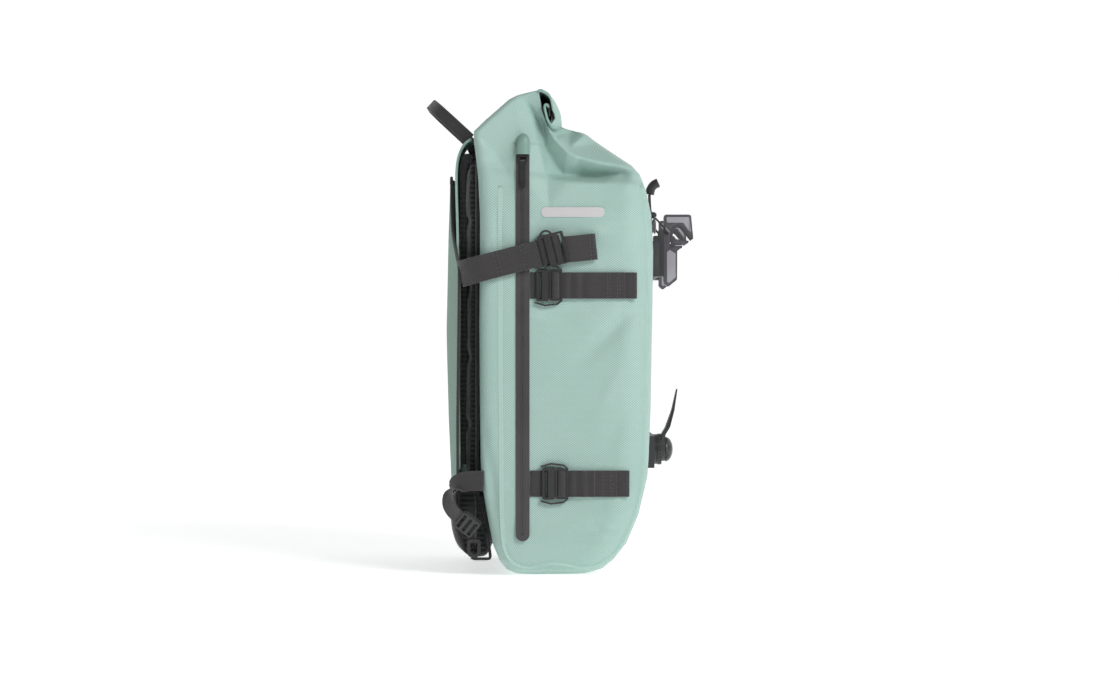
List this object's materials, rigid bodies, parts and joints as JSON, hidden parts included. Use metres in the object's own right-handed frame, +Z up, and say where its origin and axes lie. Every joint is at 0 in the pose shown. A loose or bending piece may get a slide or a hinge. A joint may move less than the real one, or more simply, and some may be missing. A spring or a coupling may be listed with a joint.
{
  "type": "pannier bag",
  "caption": "Roll-top bicycle pannier with sliding rack hooks, anti-sway finger, side zip, compression straps and a covered backpack harness.",
  "frame": {"origin": "on the ground under the middle of the bag's flat base", "axes": "+Z up, +X towards the rack side with the hooks, -Y towards the side with the zip"},
  "size_m": [0.2625, 0.3188, 0.4645],
  "materials": {
    "mint_tarpaulin": "coated weave, satin",
    "mint_facing": "smooth coated fabric",
    "sage_cover": "matte woven",
    "edge_binding": "folded woven binding",
    "black_mesh_foam": "air mesh over foam",
    "reflective_tape": "retroreflective film",
    "coated_zip_tape": "water-repellent film",
    "zip_coil_nylon": "nylon coil",
    "zip_metal": "black lacquer",
    "black_webbing": "ribbed webbing",
    "buckle_plastic": "moulded, fine grain",
    "inner_board": "extruded sheet",
    "screw_steel": "zinc plated",
    "rail_plastic": "glass-filled nylon",
    "hook_plastic": "smoky grey moulding",
    "hook_lining": "lighter smoky grey moulding",
    "black_cord": "braided cord",
    "sway_plastic": "moulded, fine grain"
  },
  "bodies": {
    "bag": {"back_pad": "black_mesh_foam", "body_shell": "mint_tarpaulin", "flap_loops": "black_webbing", "handle_tabs": "black_webbing", "ladder_lock_far": "buckle_plastic", "ladder_lock_near": "buckle_plastic", "lower_rail": "rail_plastic", "lumbar_pad": "black_mesh_foam", "rail_nuts": "screw_steel", "rail_screws": "screw_steel", "reflective_stripes": "reflective_tape", "roll_stiffener": "inner_board", "roll_top": "mint_tarpaulin", "side_sockets_far": "buckle_plastic", "side_sockets_near": "buckle_plastic", "side_webs_far": "black_webbing", "side_webs_near": "black_webbing", "stiffener_board": "inner_board", "strap_pads": "black_mesh_foam", "strap_skins": "mint_facing", "strap_web_far": "black_webbing", "strap_web_near": "black_webbing", "upper_rail": "rail_plastic", "zip_coil": "zip_coil_nylon", "zip_garage": "mint_tarpaulin", "zip_tape": "coated_zip_tape"},
    "zip_slider": {"zip_slider": "zip_metal"},
    "zip_pull": {"zip_pull": "zip_metal"},
    "carry_handle": {"carry_handle": "black_webbing"},
    "cover_flap": {"cover_flap": "sage_cover", "flap_binding": "edge_binding", "flap_strap_near": "black_webbing", "flap_strap_far": "black_webbing", "flap_buckle_near": "buckle_plastic", "flap_buckle_far": "buckle_plastic"},
    "release_pull": {"release_pull": "black_webbing"},
    "sway_carriage": {"sway_carriage": "rail_plastic"},
    "sway_finger": {"sway_finger": "sway_plastic"},
    "sway_knob": {"sway_knob": "sway_plastic"},
    "upper_clip_near": {"upper_clip_near": "buckle_plastic", "upper_tail_near": "black_webbing"},
    "lower_clip_near": {"lower_clip_near": "buckle_plastic", "lower_tail_near": "black_webbing"},
    "hook_near": {"hook_carriage_near": "rail_plastic", "hook_body_near": "hook_plastic", "hook_insert_near": "hook_lining", "release_cord_near": "black_cord"},
    "hook_latch_near": {"hook_latch_near": "hook_plastic"},
    "strap_ring_near": {"strap_ring_near": "buckle_plastic"},
    "upper_clip_far": {"upper_clip_far": "buckle_plastic", "upper_tail_far": "black_webbing"},
    "lower_clip_far": {"lower_clip_far": "buckle_plastic", "lower_tail_far": "black_webbing"},
    "hook_far": {"hook_carriage_far": "rail_plastic", "hook_body_far": "hook_plastic", "hook_insert_far": "hook_lining", "release_cord_far": "black_cord"},
    "hook_latch_far": {"hook_latch_far": "hook_plastic"},
    "strap_ring_far": {"strap_ring_far": "buckle_plastic"}
  },
  "joints": [
    {"name": "zip_slide", "type": "slide", "parent": "bag", "child": "zip_slider", "axis": [0, 0, 1], "range_m": [-0.345, 0]},
    {"name": "zip_pull_swing", "type": "hinge", "parent": "zip_slider", "child": "zip_pull", "pos_m": [-0.035, -0.1534, 0.396], "axis": [-1, 0, 0], "range_deg": [0, 95]},
    {"name": "handle_swing", "type": "hinge", "parent": "bag", "child": "carry_handle", "pos_m": [-0.09094, 0, 0.42571], "axis": [0, 1, 0], "range_deg": [-18, 18]},
    {"name": "flap_hinge", "type": "hinge", "parent": "bag", "child": "cover_flap", "pos_m": [-0.108, 0, 0.0842], "axis": [0, -1, 0], "range_deg": [0, 100]},
    {"name": "pull_lift", "type": "slide", "parent": "bag", "child": "release_pull", "axis": [0, 0, 1], "range_m": [0, 0.012], "stiffness_N_per_m": 40, "springref_m": -0.012},
    {"name": "sway_slide", "type": "slide", "parent": "bag", "child": "sway_carriage", "axis": [0, 1, 0], "range_m": [-0.065, 0.065]},
    {"name": "sway_turn", "type": "hinge", "parent": "sway_carriage", "child": "sway_finger", "pos_m": [0.1, 0, 0.1165], "axis": [1, 0, 0], "continuous": true},
    {"name": "knob_turn", "type": "hinge", "parent": "sway_carriage", "child": "sway_knob", "pos_m": [0.1, 0, 0.1165], "axis": [1, 0, 0], "continuous": true},
    {"name": "hook_slide_near", "type": "slide", "parent": "bag", "child": "hook_near", "axis": [0, 1, 0], "range_m": [-0.02, 0.025]},
    {"name": "latch_turn_near", "type": "hinge", "parent": "hook_near", "child": "hook_latch_near", "pos_m": [0.105, -0.075, 0.297], "axis": [0, -1, 0], "range_deg": [0, 28.1]},
    {"name": "upper_clip_slide_near", "type": "slide", "parent": "bag", "child": "upper_clip_near", "axis": [1, 0, 0], "range_m": [0, 0.014]},
    {"name": "lower_clip_slide_near", "type": "slide", "parent": "bag", "child": "lower_clip_near", "axis": [1, 0, 0], "range_m": [0, 0.014]},
    {"name": "ring_swing_near", "type": "hinge", "parent": "bag", "child": "strap_ring_near", "pos_m": [-0.082, -0.1279, 0.033], "axis": [1, 0, 0], "range_deg": [-20, 0]},
    {"name": "hook_slide_far", "type": "slide", "parent": "bag", "child": "hook_far", "axis": [0, 1, 0], "range_m": [-0.025, 0.02]},
    {"name": "latch_turn_far", "type": "hinge", "parent": "hook_far", "child": "hook_latch_far", "pos_m": [0.105, 0.075, 0.297], "axis": [0, -1, 0], "range_deg": [0, 28.1]},
    {"name": "upper_clip_slide_far", "type": "slide", "parent": "bag", "child": "upper_clip_far", "axis": [1, 0, 0], "range_m": [0, 0.014]},
    {"name": "lower_clip_slide_far", "type": "slide", "parent": "bag", "child": "lower_clip_far", "axis": [1, 0, 0], "range_m": [0, 0.014]},
    {"name": "ring_swing_far", "type": "hinge", "parent": "bag", "child": "strap_ring_far", "pos_m": [-0.082, 0.1279, 0.033], "axis": [1, 0, 0], "range_deg": [0, 20]}
  ],
  "couplings": [
    {"joint": "latch_turn_near", "follows": "pull_lift", "rad_per_m": 40.724},
    {"joint": "latch_turn_far", "follows": "pull_lift", "rad_per_m": 40.724}
  ]
}
